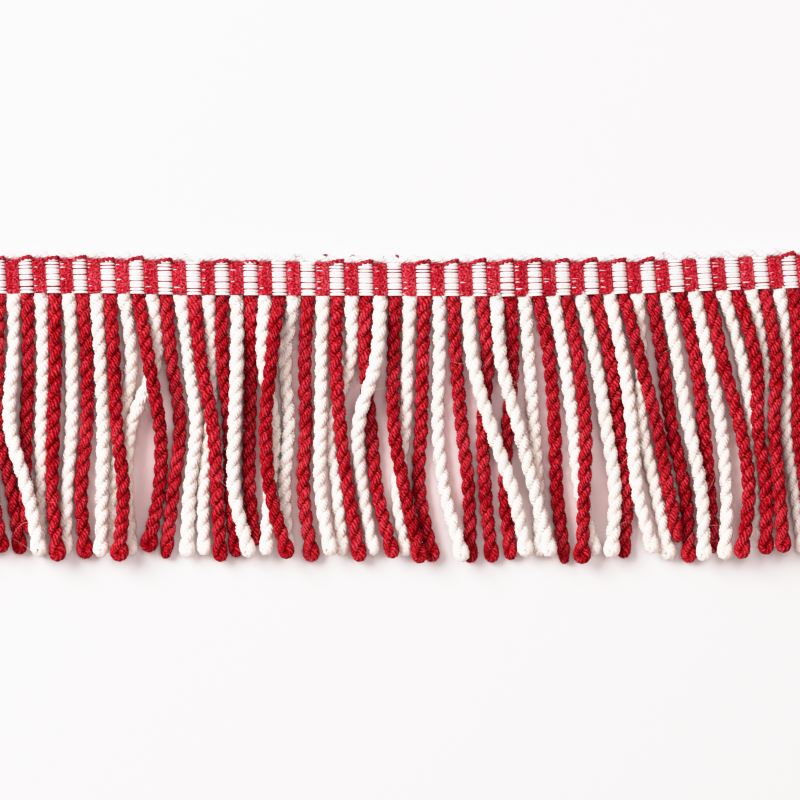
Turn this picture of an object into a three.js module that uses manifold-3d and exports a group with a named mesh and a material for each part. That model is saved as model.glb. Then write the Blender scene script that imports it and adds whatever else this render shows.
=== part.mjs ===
// A cut length of red and white bullion fringe, lying flat with its face up.
// Millimetres. The origin is the middle of the heading's flat back, which lies on z = 0,
// x runs along the heading and the cords hang toward -y.

import * as THREE from "three";
import { mergeVertices } from "three/addons/utils/BufferGeometryUtils.js";
import Module from "manifold-3d";

const wasm = await Module();
wasm.setup();

// Driving dimensions of the trimming
const PAIRS = 33; // each is one red and one white cord
const PAIR_PITCH = 5.885;
const HEADING_WIDTH = 7.1;
const LENGTH = PAIRS * PAIR_PITCH;
const LOWER_EDGE = -HEADING_WIDTH / 2; // y of the heading's lower edge at the middle
const CLEARANCE = 0.3; // between pieces that touch on the real trimming

// The woven heading: a rib stands over each cord's leg
const VALLEY_HEIGHT = 2.3;
const RIB_HEIGHT = 3.1;
const EDGE_ROUNDING = 0.5;
const RIB_SHOULDER = 0.25; // of the rib's width

// The bullion cords
const CORD_RADIUS = 1.3;
const ROOT_RADIUS = 1.15;
const ROOT_HEIGHT = 1.5; // centre of a cord where it leaves the heading
const CORD_STEPS = 10;

// The rounded end of a cord, where it turns back on itself: distances from its end, and how much of
// its greatest radius is left there
const TIP_NECK = 4;
const TIP_WIDEST = 1.9;
const TIP_SHOULDER = 0.5;
const SHOULDER_SHARE = 0.72;
const END_SHARE = 0.3;

// The narrow strips that hold the roots, one for each colour, just below the heading
const STRIP_NEAR = 0.3;
const STRIP_FAR = 1;
const STRIP_STATIONS = 34;

// The roots of one colour pass over or under the other colour's strip: distances below the heading
// of their start in the strip, of the place where they clear it, and of the full round cord
const ROOT_START = 0.4;
const ROOT_CLEAR = 1.3;
const ROOT_FULL = 2.4;
const ROOTS = {
  white: { stripLow: 0.5, stripHigh: 1.2, flatCentre: 0.65, flatHalf: 0.55, swellCentre: 0.8, swellHalf: 0.7 },
  red: { stripLow: 1.8, stripHigh: 2.5, flatCentre: 2.35, flatHalf: 0.55, swellCentre: 2.2, swellHalf: 0.7 },
};

// The weft yarns where they turn along the top edge: their distance beyond it, height and radius,
// and how far they swing in and out, and up and down, at each pair of ribs
const TURN_STATIONS = 4; // for each pair
const TURNS = {
  white: { beyond: 1.25, height: 1, radius: 0.85, sides: 5, swing: 0.12, rise: 0.02 },
  red: { beyond: 0.72, height: 2.42, radius: 0.38, sides: 4, swing: 0.04, rise: 0.12 },
};

// The heading lies in a gentle bend. For each x: how far its edges rise above their place at the
// middle, the lean of its ribs from top to bottom, and how far the cords' roots stand to the right
// of their ribs.
const BEND = [
  { x: -97, edge: 0.55, lean: 0.5, root: 0.8 },
  { x: -79, edge: 0.52, lean: 0.5, root: 0.5 },
  { x: -60, edge: 0.35, lean: 0.4, root: 0.05 },
  { x: -37, edge: 0.1, lean: 0.3, root: -0.15 },
  { x: -13, edge: 0, lean: 0.25, root: 0.15 },
  { x: 10, edge: 0.05, lean: 0.3, root: 0.8 },
  { x: 50, edge: 0.5, lean: 0.6, root: 0.85 },
  { x: 67, edge: 1.1, lean: 0.75, root: 0.9 },
  { x: 82, edge: 1.6, lean: 0.8, root: 0.9 },
  { x: 97, edge: 2.2, lean: 0.85, root: 0.9 },
];

// How each cord lies, from the left. The first four columns are its drift to the right of its root at
// three depths and at its tip, drop is the depth of its tip, and knob the radius there. Depths are
// below the heading's lower edge at the middle. A cord with a higher layer lies over one with a
// lower layer where they meet.
const DEPTHS = [13.5, 27, 40.5];
const COLUMNS = ["upper", "middle", "lower", "tip", "drop", "knob", "layer"];
const RED_CORDS = [
  [0.3, 0.9, 3.2, 5.5, 54, 1.65, 1],
  [0.4, 1.5, 4.4, 6.7, 53.3, 1.75, 0],
  [-0.2, -0.4, 2.5, 4.4, 53.7, 1.6, 0],
  [0.2, -0.2, 0.4, 1.2, 49.5, 1.4, 0],
  [0.2, -0.2, -0.4, 1, 55.1, 1.9, 1],
  [0.9, 0.9, -0.3, 0.7, 54.7, 1.8, 0],
  [0.9, 1.6, 3, 1.9, 55.1, 1.95, 2],
  [2.4, 4.6, 4.4, 1.9, 53.3, 1.9, 2],
  [1.2, 2.9, 1.5, -0.2, 54.7, 1.4, 1],
  [1.5, 4, 4.8, 5.6, 55.3, 1.65, 1],
  [0.1, 1.4, 1.6, 3, 54.3, 1.6, 0],
  [0, -0.3, -0.3, 1.1, 52, 1.5, -1],
  [-1.6, -2.8, -1.8, 2, 54.5, 1.7, 2],
  [-0.7, -0.5, -1, 0.9, 55.3, 1.8, 1],
  [-0.2, 0.7, 2.4, 4.9, 55.3, 1.65, 2],
  [-0.2, 1, 2.3, 5.8, 54.5, 1.6, 0],
  [-0.4, -0.3, 2, 5.4, 55.5, 1.7, 2],
  [-0.4, -0.7, -1.1, 1.9, 55.3, 1.7, 1],
  [0.6, 1.7, 3.2, 3.5, 55.5, 1.65, 1],
  [1.2, 0.2, 0.7, 2.2, 55.5, 1.65, 1],
  [0.5, -0.5, -1.1, 0.2, 54.9, 1.6, 0],
  [2.3, 3.3, 3.8, 5.9, 55.7, 1.7, 0],
  [2.4, 3.8, 3.5, 2.9, 55.7, 1.7, 1],
  [3.2, 4.9, 6.5, 5.8, 54.5, 1.6, 0],
  [3.4, 6.9, 9.4, 11, 53, 1.6, 1],
  [2.3, 4.1, 6.9, 7.8, 55.5, 1.7, 0],
  [3.2, 4.9, 6.1, 6.9, 53.5, 1.65, 0],
  [2.9, 6.4, 8.2, 6.4, 54.5, 1.7, 1],
  [3.8, 4.2, 5.9, 5.8, 53.7, 1.7, 1],
  [2.2, 1.7, 2.7, 3.6, 53.3, 1.7, 2],
  [1, 0.8, 2.3, 3.5, 53.7, 1.6, 1],
  [0.9, 1.4, 2, 2.6, 54.3, 1.7, 1],
  [0.9, 1.2, 1.6, 2.2, 53.8, 1.65, 1],
];
const WHITE_CORDS = [
  [0.2, 0.5, 2, 3.8, 54.3, 1.6, 0],
  [0.1, 0, 0.8, 1.7, 53.9, 1.6, -1],
  [-0.1, -0.5, 3.3, 6, 54.1, 1.75, 2],
  [0.4, 0.1, 0, -0.2, 54.3, 1.6, 0],
  [0.6, 0.6, -0.4, -0.6, 53.7, 1.6, 0],
  [0.9, 1.4, 1.4, 1.1, 54.3, 1.75, 1],
  [1.5, -0.4, -2.2, -2.3, 53.9, 1.6, 0],
  [0.8, -4.2, -5.2, -4.2, 53.9, 1.6, 0],
  [1.8, 3.4, 2, 1.4, 54.5, 1.75, 1],
  [0.7, 0.3, -1, -0.8, 54.1, 1.65, 0],
  [0.1, -0.3, -0.4, 3, 54.5, 1.6, 2],
  [-0.4, 1.9, 1, 0.2, 54.1, 1.6, 0],
  [-1.7, -1, -1.9, -1.2, 53.7, 1.6, 0],
  [-0.2, -0.3, -0.4, 1.9, 54.1, 1.6, 0],
  [-0.2, -4.2, -2.9, -1.9, 54.1, 1.6, 0],
  [-1, -4.6, -3.8, -1.2, 54.1, 1.6, 2],
  [-0.6, -1, -2.5, -0.8, 54.3, 1.6, 0],
  [0.1, -0.2, 1.2, 5.2, 55.3, 1.75, 2],
  [1, 4.7, 9.3, 12.4, 54.3, 1.75, 2],
  [1, 4.5, 8, 11.4, 54.3, 1.75, 2],
  [1, 2, 2.9, 3.3, 54.3, 1.6, 0],
  [2.5, 4.3, 5.7, 9.1, 54.1, 1.6, 0],
  [3, 5.2, 7, 6.1, 54.5, 1.75, 2],
  [2.9, 4.6, 5.8, 9.3, 53.7, 1.6, 2],
  [0.8, 1, 3.8, 6.5, 54.9, 1.75, 0],
  [2.5, 4.7, 7.2, 7.8, 55.3, 1.75, 2],
  [3.1, 5.6, 6.7, 6.1, 54.9, 1.75, 1],
  [4.1, 6, 6.7, 7, 52, 1.5, 0],
  [2.8, 3.2, 3.9, 4.9, 52, 1.5, 0],
  [1.8, 1.5, 3.3, 5.2, 53.7, 1.7, 1],
  [1.4, 1.9, 2.6, 3.4, 54.1, 1.65, 0],
  [1.2, 1.5, 2.2, 3, 54.4, 1.6, 0],
  [0.8, 1.1, 1.3, 1.7, 54.1, 1.6, 0],
];

// How the cords settle on the ground and over each other
const LEVELS = 58; // one for each millimetre of depth
const RAMP = 3; // half the length, in levels, over which a cord's rise is evened out, twice
const SETTLING_PASSES = 10;
const FREE_DEPTH = 6; // down to here the heading still holds the cords up

const RED = new THREE.MeshStandardMaterial({ color: 0xc4122f, roughness: 0.85, metalness: 0 });
const WHITE = new THREE.MeshStandardMaterial({ color: 0xf6f0e8, roughness: 0.85, metalness: 0 });
const WOVEN = new THREE.MeshStandardMaterial({ color: 0xdb8088, roughness: 0.8, metalness: 0 });

// A smooth curve through points [t, value], whose slope at each is that between its neighbours.
function through(points) {
  const last = points.length - 1;
  const slopes = points.map((_, i) => {
    const [t0, v0] = points[Math.max(i - 1, 0)];
    const [t1, v1] = points[Math.min(i + 1, last)];
    return (v1 - v0) / (t1 - t0);
  });
  return (t) => {
    const at = Math.min(Math.max(t, points[0][0]), points[last][0]);
    const i = Math.min(Math.max(points.findIndex((p) => p[0] >= at) - 1, 0), last - 1);
    const [t0, v0] = points[i];
    const [t1, v1] = points[i + 1];
    const span = t1 - t0;
    const u = (at - t0) / span;
    const rise = 3 * u * u - 2 * u * u * u;
    const out = u * (1 - u) * (1 - u) * span * slopes[i];
    const back = u * u * (u - 1) * span * slopes[i + 1];
    return v0 + (v1 - v0) * rise + out + back;
  };
}

const edgeAt = through(BEND.map((row) => [row.x, row.edge]));
const leanAt = through(BEND.map((row) => [row.x, row.lean]));
const rootShiftAt = through(BEND.map((row) => [row.x, row.root]));

// The middle of a pair's white rib, which holds the red cord, and of its red rib.
const pairCentre = (index) => (index - (PAIRS - 1) / 2) * PAIR_PITCH;
const ribCentre = (index, colour) => pairCentre(index) + ((colour === "red" ? -1 : 1) * PAIR_PITCH) / 4;

// A closed solid through rings of points, each turning the right-handed way about the path.
function loft(rings) {
  const sides = rings[0].length;
  const positions = rings.flat().flatMap((p) => [p.x, p.y, p.z]);
  const faces = [];
  for (let ring = 0; ring < rings.length - 1; ring++) {
    for (let side = 0; side < sides; side++) {
      const a = ring * sides + side;
      const b = ring * sides + ((side + 1) % sides);
      faces.push(a, b, b + sides, a, b + sides, a + sides);
    }
  }
  const end = (rings.length - 1) * sides;
  for (let side = 1; side < sides - 1; side++) {
    faces.push(0, side + 1, side, end, end + side, end + side + 1);
  }
  const geometry = new THREE.BufferGeometry();
  geometry.setAttribute("position", new THREE.Float32BufferAttribute(positions, 3));
  geometry.setIndex(faces);
  return geometry;
}

function solidOf(geometry) {
  const merged = mergeVertices(geometry, 1e-4);
  const vertProperties = new Float32Array(merged.attributes.position.array);
  const triVerts = new Uint32Array(merged.index.array);
  return new wasm.Manifold(new wasm.Mesh({ numProp: 3, vertProperties, triVerts }));
}

function joined(geometries) {
  const whole = geometries.map(solidOf).reduce((sum, piece) => sum.add(piece));
  const { vertProperties, triVerts } = whole.getMesh();
  const geometry = new THREE.BufferGeometry();
  geometry.setAttribute("position", new THREE.BufferAttribute(vertProperties, 3));
  geometry.setIndex(new THREE.BufferAttribute(triVerts, 1));
  return geometry;
}

function named(name, geometry, material) {
  const mesh = new THREE.Mesh(geometry, material);
  mesh.name = name;
  return mesh;
}

// One cord's route: its place x and its radius for each depth.
function makeCord(row, index, colour) {
  const lie = Object.fromEntries(COLUMNS.map((column, i) => [column, row[i]]));
  const rib = ribCentre(index, colour);
  const rootX = rib + rootShiftAt(rib);
  const rootDepth = -edgeAt(rib);
  const neckDepth = lie.drop - TIP_NECK;
  const widestDepth = lie.drop - TIP_WIDEST;
  const drifts = [lie.upper, lie.middle, lie.lower].map((drift, i) => [DEPTHS[i], rootX + drift]);
  const place = through([[rootDepth, rootX], ...drifts, [lie.drop, rootX + lie.tip]]);
  const radius = through([
    [rootDepth, ROOT_RADIUS],
    [rootDepth + FREE_DEPTH, CORD_RADIUS],
    [neckDepth, CORD_RADIUS],
    [widestDepth, lie.knob],
    [lie.drop - TIP_SHOULDER, SHOULDER_SHARE * lie.knob],
    [lie.drop, END_SHARE * lie.knob],
  ]);
  const layer = lie.layer + (colour === "red" ? 0.5 : 0) + (index % 2) * 0.25;
  return { ...lie, layer, colour, rootDepth, neckDepth, widestDepth, place, radius };
}

// The largest, and the mean, of a list's values within a reach on each side.
function windowed(values, reach, pick) {
  return values.map((_, i) => pick(values.slice(Math.max(i - reach, 0), i + reach + 1)));
}
const largest = (values) => Math.max(...values);
const mean = (values) => values.reduce((sum, value) => sum + value, 0) / values.length;

// Lays every cord on the ground, or just clear of the cords under it, with long easy slopes.
function settle(cords) {
  const depths = Array.from({ length: LEVELS }, (_, level) => level);
  for (const cord of cords) {
    cord.rest = depths.map((depth) => cord.radius(depth));
    cord.x = depths.map((depth) => cord.place(depth));
    cord.heights = cord.rest;
  }
  for (let pass = 0; pass < SETTLING_PASSES; pass++) {
    for (const cord of cords) {
      const needed = depths.map((depth) => {
        if (depth > cord.drop) return cord.rest[depth];
        const carried = cords.map((other) => {
          if (other.layer >= cord.layer || depth > other.drop) return 0;
          const apart = cord.rest[depth] + other.rest[depth] + CLEARANCE;
          const aside = Math.abs(cord.x[depth] - other.x[depth]);
          return aside < apart ? other.heights[depth] + Math.sqrt(apart * apart - aside * aside) : 0;
        });
        return Math.max(cord.rest[depth], ...carried);
      });
      const raised = windowed(needed, 2 * RAMP, largest);
      cord.heights = windowed(windowed(raised, RAMP, mean), RAMP, mean);
    }
  }
  for (const cord of cords) {
    const settled = through(cord.heights.map((height, depth) => [depth, height]));
    cord.height = (depth) => {
      const free = THREE.MathUtils.smoothstep(depth - cord.rootDepth, 0, FREE_DEPTH);
      const lying = Math.max(settled(depth), cord.radius(depth));
      return ROOT_HEIGHT + (lying - ROOT_HEIGHT) * free;
    };
  }
}

// A diamond-shaped section of a cord, upright on its lowest corner.
function diamond(x, depth, z, halfWidth, halfHeight) {
  const y = LOWER_EDGE - depth;
  return [
    new THREE.Vector3(x + halfWidth, y, z),
    new THREE.Vector3(x, y, z + halfHeight),
    new THREE.Vector3(x - halfWidth, y, z),
    new THREE.Vector3(x, y, z - halfHeight),
  ];
}

function cordGeometry(cord) {
  const root = ROOTS[cord.colour];
  const start = cord.rootDepth;
  const rings = [
    diamond(cord.place(start), start + ROOT_START, root.flatCentre, ROOT_RADIUS, root.flatHalf),
    diamond(cord.place(start), start + ROOT_CLEAR, root.swellCentre, ROOT_RADIUS, root.swellHalf),
  ];
  const free = start + ROOT_FULL;
  const depths = [];
  for (let step = 0; step <= CORD_STEPS; step++) {
    depths.push(free + ((cord.neckDepth - free) * step) / CORD_STEPS);
  }
  depths.push(cord.widestDepth, cord.drop - TIP_SHOULDER, cord.drop);
  for (const depth of depths) {
    const radius = cord.radius(depth);
    rings.push(diamond(cord.place(depth), depth, cord.height(depth), radius, radius));
  }
  return loft(rings);
}

// The strip along the heading's lower edge that one colour's roots are fused into.
function stripGeometry(colour) {
  const { stripLow, stripHigh } = ROOTS[colour];
  const halfLength = LENGTH / 2 - CLEARANCE;
  const rings = [];
  for (let i = 0; i <= STRIP_STATIONS; i++) {
    const x = -halfLength + (2 * halfLength * i) / STRIP_STATIONS;
    const near = LOWER_EDGE + edgeAt(x) - STRIP_NEAR;
    const far = LOWER_EDGE + edgeAt(x) - STRIP_FAR;
    rings.push([
      new THREE.Vector3(x, far, stripLow),
      new THREE.Vector3(x, near, stripLow),
      new THREE.Vector3(x, near, stripHigh),
      new THREE.Vector3(x, far, stripHigh),
    ]);
  }
  return loft(rings);
}

// The woven tape, flat behind, with a rounded rib in front over each leg.
function headingGeometry() {
  const rings = [];
  const ribs = 2 * PAIRS;
  const ribWidth = LENGTH / ribs;
  const ringAt = (x, top) => {
    const corners = [
      [0, 0],
      [HEADING_WIDTH, 0],
      [HEADING_WIDTH, top - EDGE_ROUNDING],
      [HEADING_WIDTH - EDGE_ROUNDING, top],
      [EDGE_ROUNDING, top],
      [0, top - EDGE_ROUNDING],
    ];
    return corners.map(([y, z]) => {
      const lean = leanAt(x) * (0.5 - y / HEADING_WIDTH);
      return new THREE.Vector3(x + lean, LOWER_EDGE + edgeAt(x) + y, z);
    });
  };
  for (let rib = 0; rib < ribs; rib++) {
    const x = -LENGTH / 2 + rib * ribWidth;
    rings.push(ringAt(x, VALLEY_HEIGHT));
    rings.push(ringAt(x + RIB_SHOULDER * ribWidth, RIB_HEIGHT));
    rings.push(ringAt(x + (1 - RIB_SHOULDER) * ribWidth, RIB_HEIGHT));
  }
  rings.push(ringAt(LENGTH / 2, VALLEY_HEIGHT));
  return loft(rings);
}

// A weft yarn that swings along the top edge, out and up over the ribs that hold its own legs.
function turnGeometry(colour) {
  const turn = TURNS[colour];
  const phase = ribCentre(0, colour);
  const stations = PAIRS * TURN_STATIONS;
  const rings = [];
  for (let i = 0; i <= stations; i++) {
    const x = -LENGTH / 2 + (PAIR_PITCH * i) / TURN_STATIONS;
    const wave = Math.cos((2 * Math.PI * (x - phase)) / PAIR_PITCH);
    const y = edgeAt(x) - LOWER_EDGE + turn.beyond + turn.swing * wave;
    const z = turn.height + turn.rise * wave;
    const lean = -leanAt(x) / 2;
    const ring = [];
    for (let side = 0; side < turn.sides; side++) {
      const angle = (2 * Math.PI * (side + 0.5)) / turn.sides - Math.PI / 2;
      const across = turn.radius * Math.cos(angle);
      const up = turn.radius * Math.sin(angle);
      ring.push(new THREE.Vector3(x + lean, y + across, z + up));
    }
    rings.push(ring);
  }
  return loft(rings);
}

const redCords = RED_CORDS.map((row, index) => makeCord(row, index, "red"));
const whiteCords = WHITE_CORDS.map((row, index) => makeCord(row, index, "white"));
settle([...redCords, ...whiteCords]);

const fringe = new THREE.Group();
fringe.add(
  named("heading", headingGeometry(), WOVEN),
  named("fringe_red", joined([stripGeometry("red"), ...redCords.map(cordGeometry)]), RED),
  named("fringe_white", joined([stripGeometry("white"), ...whiteCords.map(cordGeometry)]), WHITE),
  named("weft_turns_red", turnGeometry("red"), RED),
  named("weft_turns_white", turnGeometry("white"), WHITE),
);

export default fringe;
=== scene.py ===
# A cut length of red and white bullion fringe, lying flat with its face up.
# The tables are in millimetres and every mesh is made in metres. The origin is the middle of the
# heading's flat back, x runs along the heading and the cords hang toward -y.

import math

import bpy
import numpy as np
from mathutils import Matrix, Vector


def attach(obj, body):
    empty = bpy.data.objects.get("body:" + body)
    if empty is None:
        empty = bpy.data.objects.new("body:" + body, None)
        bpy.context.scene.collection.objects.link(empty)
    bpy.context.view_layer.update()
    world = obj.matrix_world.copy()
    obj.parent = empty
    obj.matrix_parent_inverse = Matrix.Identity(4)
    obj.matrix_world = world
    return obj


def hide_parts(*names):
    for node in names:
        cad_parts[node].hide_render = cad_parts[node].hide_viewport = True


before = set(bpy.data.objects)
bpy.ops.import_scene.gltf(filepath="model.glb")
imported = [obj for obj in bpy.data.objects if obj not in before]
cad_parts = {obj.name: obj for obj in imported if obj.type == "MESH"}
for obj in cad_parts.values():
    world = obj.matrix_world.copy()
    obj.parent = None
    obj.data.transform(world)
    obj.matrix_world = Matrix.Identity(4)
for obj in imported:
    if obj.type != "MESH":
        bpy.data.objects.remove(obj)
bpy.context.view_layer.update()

MM = 0.001
FULL_TURN = 2 * math.pi
UP = np.array([0, 0, 1.0])
rng = np.random.default_rng(20)

# Main sizes, as in the solids
PAIRS = 33
PAIR_PITCH = 5.885
HEADING_WIDTH = 7.1
LENGTH = PAIRS * PAIR_PITCH
LOWER_EDGE = -HEADING_WIDTH / 2

# A cord without its twist: its radius, and the places in its knob measured back from the tip
CORD_RADIUS = 1.3
ROOT_RADIUS = 1.15
TIP_NECK = 4
TIP_WIDEST = 1.9
TIP_SHOULDER = 0.5
SHOULDER_SHARE = 0.72  # of the knob's radius
END_SHARE = 0.3

# The heading's gentle bend: x, rise of its edges, lean of its ribs, shift of the roots
BEND = [
    [-97, 0.55, 0.5, 0.8],
    [-79, 0.52, 0.5, 0.5],
    [-60, 0.35, 0.4, 0.05],
    [-37, 0.1, 0.3, -0.15],
    [-13, 0, 0.25, 0.15],
    [10, 0.05, 0.3, 0.8],
    [50, 0.5, 0.6, 0.85],
    [67, 1.1, 0.75, 0.9],
    [82, 1.6, 0.8, 0.9],
    [97, 2.2, 0.85, 0.9],
]

# How each cord lies, from the left: its drift to the right of its root at three depths and at its
# tip, the depth of its tip, the radius there, and its layer
DEPTHS = [13.5, 27, 40.5]
RED_CORDS = [
    [0.3, 0.9, 3.2, 5.5, 54, 1.65, 1],
    [0.4, 1.5, 4.4, 6.7, 53.3, 1.75, 0],
    [-0.2, -0.4, 2.5, 4.4, 53.7, 1.6, 0],
    [0.2, -0.2, -0.3, 0.6, 49.5, 1.4, 0],
    [0.2, -0.2, -0.4, 1, 55.1, 1.9, 1],
    [0.9, 0.9, -0.3, 0.7, 54.7, 1.8, 0],
    [0.9, 1.6, 3, 1.9, 55.1, 1.95, 2],
    [2.4, 4.6, 4.4, 1.9, 53.3, 1.9, 2],
    [1.2, 2.9, 1.5, -0.2, 54.7, 1.4, 1],
    [1.5, 4, 4.8, 5.6, 55.3, 1.65, 1],
    [0.1, 1.4, 1.6, 3, 54.3, 1.6, 0],
    [0, -0.3, -0.3, 1.1, 52, 1.5, -1],
    [-1.6, -2.8, -1.8, 2, 54.5, 1.7, 2],
    [-0.7, -0.5, -1, 0.9, 55.3, 1.8, 1],
    [-0.2, 0.7, 2.4, 4.9, 55.3, 1.65, 2],
    [-0.2, 1, 2.3, 5.8, 54.5, 1.6, 0],
    [-0.4, -0.3, 2, 5.4, 55.5, 1.7, 2],
    [-0.4, -0.7, -1.1, 1.9, 55.3, 1.7, 1],
    [0.6, 1.7, 3.2, 3.5, 55.5, 1.65, 1],
    [1.2, 0.2, 0.7, 2.2, 55.5, 1.65, 1],
    [0.5, -0.5, -1.1, 0.2, 54.9, 1.6, 0],
    [2.3, 3.3, 3.8, 5.5, 55.7, 1.3, 0],
    [2.4, 3.8, 3.5, 2.9, 55.7, 1.95, 1],
    [3.2, 4.9, 6.5, 5.8, 54.5, 1.6, 0],
    [3.4, 6.9, 9.4, 11.3, 51.2, 1.45, 1],
    [2.3, 4.1, 6.9, 7.8, 55.5, 1.7, 0],
    [3.2, 4.9, 6.1, 6.9, 53.5, 1.65, 0],
    [2.9, 6.4, 8.2, 6.4, 54.5, 1.7, 1],
    [3.8, 4.2, 5.9, 5.8, 53.7, 1.7, 1],
    [2.2, 1.7, 2.7, 3.6, 53.3, 1.7, 2],
    [1, 0.8, 2.3, 3.5, 53.7, 1.6, 1],
    [0.9, 1.4, 2, 2.6, 54.3, 1.7, 1],
    [0.9, 1.2, 1.6, 2.2, 53.8, 1.65, 1],
]
WHITE_CORDS = [
    [0.2, 0.5, 2, 3.8, 54.3, 1.6, 0],
    [0.1, 0, 0.8, 1.7, 53.9, 1.6, -1],
    [-0.1, -0.5, 3.3, 6, 54.1, 1.75, 2],
    [0.4, 0.1, 0, -0.2, 54.3, 1.6, 0],
    [0.6, 0.6, -0.4, -0.6, 53.7, 1.6, 0],
    [0.9, 1.4, 1.4, 1.1, 54.3, 1.75, 1],
    [1.5, -0.4, -2.2, -2.3, 53.9, 1.6, 0],
    [0.8, -4.2, -5.2, -4.2, 53.9, 1.6, 0],
    [1.8, 3.4, 2, 1.4, 54.5, 1.75, 1],
    [0.7, 0.3, -1, -0.8, 54.1, 1.65, 0],
    [0.1, -0.3, -0.4, 3, 54.5, 1.6, 2],
    [-0.4, 1.9, 1, 0.2, 54.1, 1.6, 0],
    [-1.7, -1, -1.9, -1.2, 53.7, 1.6, 0],
    [-0.2, -0.3, -0.4, 1.9, 54.1, 1.6, 0],
    [-0.2, -4.2, -2.9, -1.9, 54.1, 1.6, 0],
    [-1, -4.6, -3.8, -1.2, 54.1, 1.6, 2],
    [-0.6, -1, -2.5, -0.8, 54.3, 1.6, 0],
    [0.1, -0.2, 1.2, 5.2, 55.3, 1.75, 2],
    [1, 4.7, 9.3, 12.4, 54.3, 1.75, 2],
    [1, 4.5, 8, 11.4, 54.3, 1.75, 2],
    [1, 2, 2.9, 3.3, 54.3, 1.6, 0],
    [2.5, 4.3, 5.7, 9.1, 54.1, 1.6, 0],
    [3, 5.2, 7, 6.1, 54.5, 1.75, 2],
    [2.9, 4.6, 5.8, 9.3, 53.7, 1.6, 2],
    [0.8, 1, 3.8, 6.7, 55.1, 1.9, 0],
    [2.5, 4.7, 7.2, 7.8, 55.3, 1.75, 2],
    [3.1, 5.6, 6.7, 6.1, 54.9, 1.75, 1],
    [4.1, 6, 6.7, 7, 52, 1.5, 0],
    [2.8, 3.2, 3.9, 4.9, 52, 1.5, 0],
    [1.8, 1.5, 3.3, 5.2, 53.7, 1.7, 1],
    [1.4, 1.9, 2.6, 3.4, 54.1, 1.65, 0],
    [1.2, 1.5, 2.2, 3, 54.4, 1.6, 0],
    [0.8, 1.1, 1.3, 1.7, 54.1, 1.6, 0],
]

# How the cords settle on the ground and over each other
LEVELS = 58  # depths a millimetre apart
RAMP = 3  # levels to each side over which a rise is spread
SETTLING_PASSES = 10
CLEARANCE = 0.3
FREE_DEPTH = 6  # below its root, where a cord has left the heading
RED_OVER = 0.5  # of a layer, by which a red cord lies over a white one
ODD_OVER = 0.25  # of a layer, by which every second cord lies over the others of its colour

# The twisted yarn of the cords: two oval plies, each with a ridge for every single
PLY_RADIUS = {"red": 1.06, "white": 1.1}
PLY_SQUEEZE = {"red": 0.88, "white": 1.02}  # a ply's thickness toward the cord's axis, as a share
PLY_OFFSET = {"red": 0.6, "white": 0.46}  # of a ply's axis from the cord's
TIP_SHARE = {"red": 0.68, "white": 0.8}  # of the knob's radius, for the ply round the tip
LIFT = 0.21  # the yarn lies this much higher than a plain cord
LAY = 6.3  # length of one full turn of the plies
LAY_RANGE = (0.95, 1.06)
LAY_WANDER = 0.1
TWIST_STARTS = (-1, 2.2)  # above the loop, between which the twist comes in
SINGLES = [5, 6]
SINGLES_TWIST = 1.75  # radians for each millimetre of ply
SINGLES_TWIST_RANGE = (0.92, 1.08)
MOST_TURNED = 6.28  # at the start of a strand
TURN_STRAY = 0.05
RIDGE_DEPTH = 0.12
RIDGE_WANDER = 0.3
RIDGE_WANDER_LIMIT = 0.6
SHARP_VALLEY = 0.8  # of the way down from a ridge
NEAR_AXIS = 0.05  # where a ply lies too near the axis to be flattened
CORD_WANDER = 0.04  # of the plies' thickness
LOWEST_YARN = 0.02

# The yarn's mesh
CORD_POINTS = 420  # along a cord's middle line, before its rings are spaced out
SIDES_PER_SINGLE = {"red": 4, "white": 3}
STATION = {"red": 0.6, "white": 0.64}  # between rings
CLOSER_FROM = 3  # above the loop
CLOSER_BY = 1.2

# The plies at the root
ROOT_INSIDE = 0.9  # how far they reach up into the heading
ROOT_FULLNESS = {"red": 1.12, "white": 1.26}
ROOT_CLOSENESS = 0.85  # of their axes
ROOT_NECK = 0.85  # inside the heading
ROOT_NECK_END = -0.1  # below the heading's edge
ROOT_MIDDLE = 1.32  # height there

# The loop at the tip: a narrow one stands on edge and a wide one lies face on
LOOP_KNOBS = [1.45, 1.7]
LOOP_PHASES = [1.35, 0.15]
LOOP_STRAY = 0.25
LOOP_POINTS = 15

# The heading: the edges of its even weave, and the cords' legs inside it
WEAVE_LOW = -3.47
WEAVE_HIGH = 3.3
LEG_START = 0.1  # above the lower edge
LEG_END = 0.15  # above the top edge
LEG_HEIGHT = 1.55
LEG_HALF_WIDTH = 1.25
LEG_HALF_HEIGHT = 1.37
LEG_ROUNDNESS = 0.7
LEG_RINGS = 8
LEG_SIDES = 14
LEG_TONE = 0.5

# The warp threads over and under the legs
WARP_SWING = 1.25
WARP_THICKNESS = 0.27  # half
WARP_ROUNDNESS = 0.35
WARP_STATIONS = 12  # along each pair of ribs
WARP_SIDES = 8
ROW_OVERLAP = 0.2
ROW_WANDER = 0.035
OUTER_ROW_WANDER = 0.02
# Boundaries between the rows of warp, as shares of the width from the top, and the widest gap there
WHITE_ROWS = [
    [0, 0], [0.094, 0.06], [0.189, 0.13], [0.283, 0.12], [0.37, 0.0], [0.457, 0.07], [0.535, 0.0],
    [0.614, 0.14], [0.717, 0.0], [0.811, 0.17], [0.905, 0.05], [1, 0],
]
RED_ROWS = [
    [0, 0], [0.06, 0.13], [0.15, 0.1], [0.25, 0.11], [0.33, 0.0], [0.41, 0.0], [0.5, 0.04],
    [0.585, 0.13], [0.68, 0.0], [0.775, 0.17], [0.86, 0.0], [0.935, 0.11], [1, 0],
]

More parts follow.
